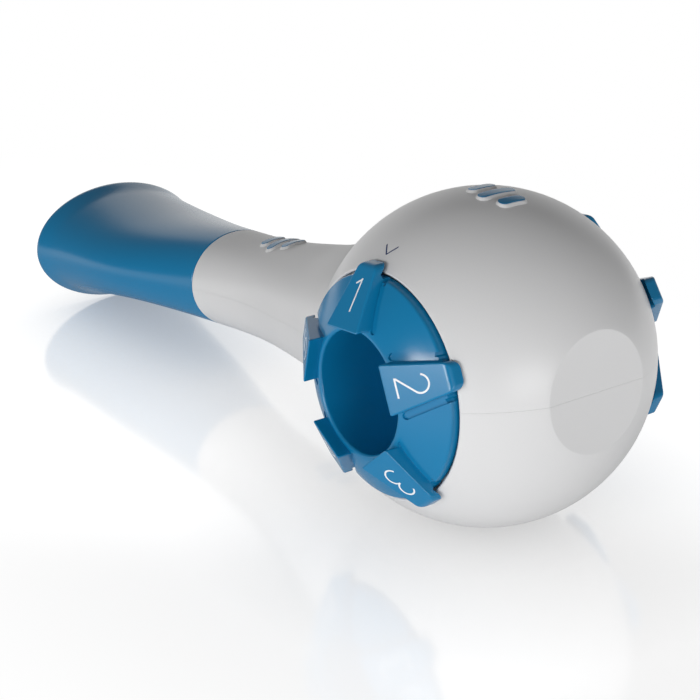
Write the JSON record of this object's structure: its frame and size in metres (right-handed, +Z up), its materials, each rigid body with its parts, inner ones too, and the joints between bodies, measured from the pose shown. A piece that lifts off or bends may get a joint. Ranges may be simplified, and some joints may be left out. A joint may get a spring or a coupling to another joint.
{
  "type": "breathing trainer",
  "caption": "Handheld respiratory trainer: a ball body on an oval neck with a flared mouthpiece and a turning resistance dial with finger tabs on each side.",
  "frame": {"origin": "middle of the footprint of the object's bounding box, on the surface it lies on", "axes": "+X from the mouthpiece's lip towards the ball, +Y towards the inhale dial, -Y towards the exhale dial, +Z up; the straight body is tipped about Y so that the ball and the lip both touch the surface"},
  "size_m": [0.1602, 0.058, 0.0574],
  "materials": {
    "pearl_white": "satin pearl grey-white moulded plastic",
    "clinical_blue": "satin blue moulded plastic",
    "seal_rubber": "matt black rubber",
    "clear_silicone": "soft milky silicone",
    "spring_steel": "bright spring steel strip"
  },
  "bodies": {
    "body": {"ball_grip_1": "clinical_blue", "ball_grip_2": "clinical_blue", "ball_grip_3": "clinical_blue", "exhale_click_spring": "spring_steel", "exhale_port_cup": "pearl_white", "exhale_valve_seat": "pearl_white", "inhale_click_spring": "spring_steel", "inhale_port_cup": "pearl_white", "inhale_valve_cage": "pearl_white", "lower_shell": "pearl_white", "mouthpiece": "clinical_blue", "neck_grip_bottom_1": "clinical_blue", "neck_grip_bottom_2": "clinical_blue", "neck_grip_bottom_3": "clinical_blue", "neck_grip_top_1": "clinical_blue", "neck_grip_top_2": "clinical_blue", "neck_grip_top_3": "clinical_blue", "upper_shell": "pearl_white"},
    "exhale_dial": {"exhale_dial": "clinical_blue", "exhale_dial_seal": "seal_rubber"},
    "inhale_dial": {"inhale_dial": "clinical_blue", "inhale_dial_seal": "seal_rubber"},
    "exhale_valve": {"exhale_valve_disc": "clear_silicone"},
    "inhale_valve": {"inhale_valve_disc": "clear_silicone"}
  },
  "joints": [
    {"name": "exhale_dial_turn", "type": "hinge", "parent": "body", "child": "exhale_dial", "pos_m": [0.05243, -0.0002, 0.02836], "axis": [0, -1, 0], "continuous": true},
    {"name": "inhale_dial_turn", "type": "hinge", "parent": "body", "child": "inhale_dial", "pos_m": [0.05243, -0.0002, 0.02836], "axis": [0, 1, 0], "continuous": true},
    {"name": "exhale_valve_lift", "type": "slide", "parent": "body", "child": "exhale_valve", "axis": [0, -1, 0], "range_m": [0, 0.0015], "stiffness_N_per_m": 15, "springref_m": -0.0002},
    {"name": "inhale_valve_lift", "type": "slide", "parent": "body", "child": "inhale_valve", "axis": [0, -1, 0], "range_m": [0, 0.0015], "stiffness_N_per_m": 15, "springref_m": -0.0002}
  ]
}
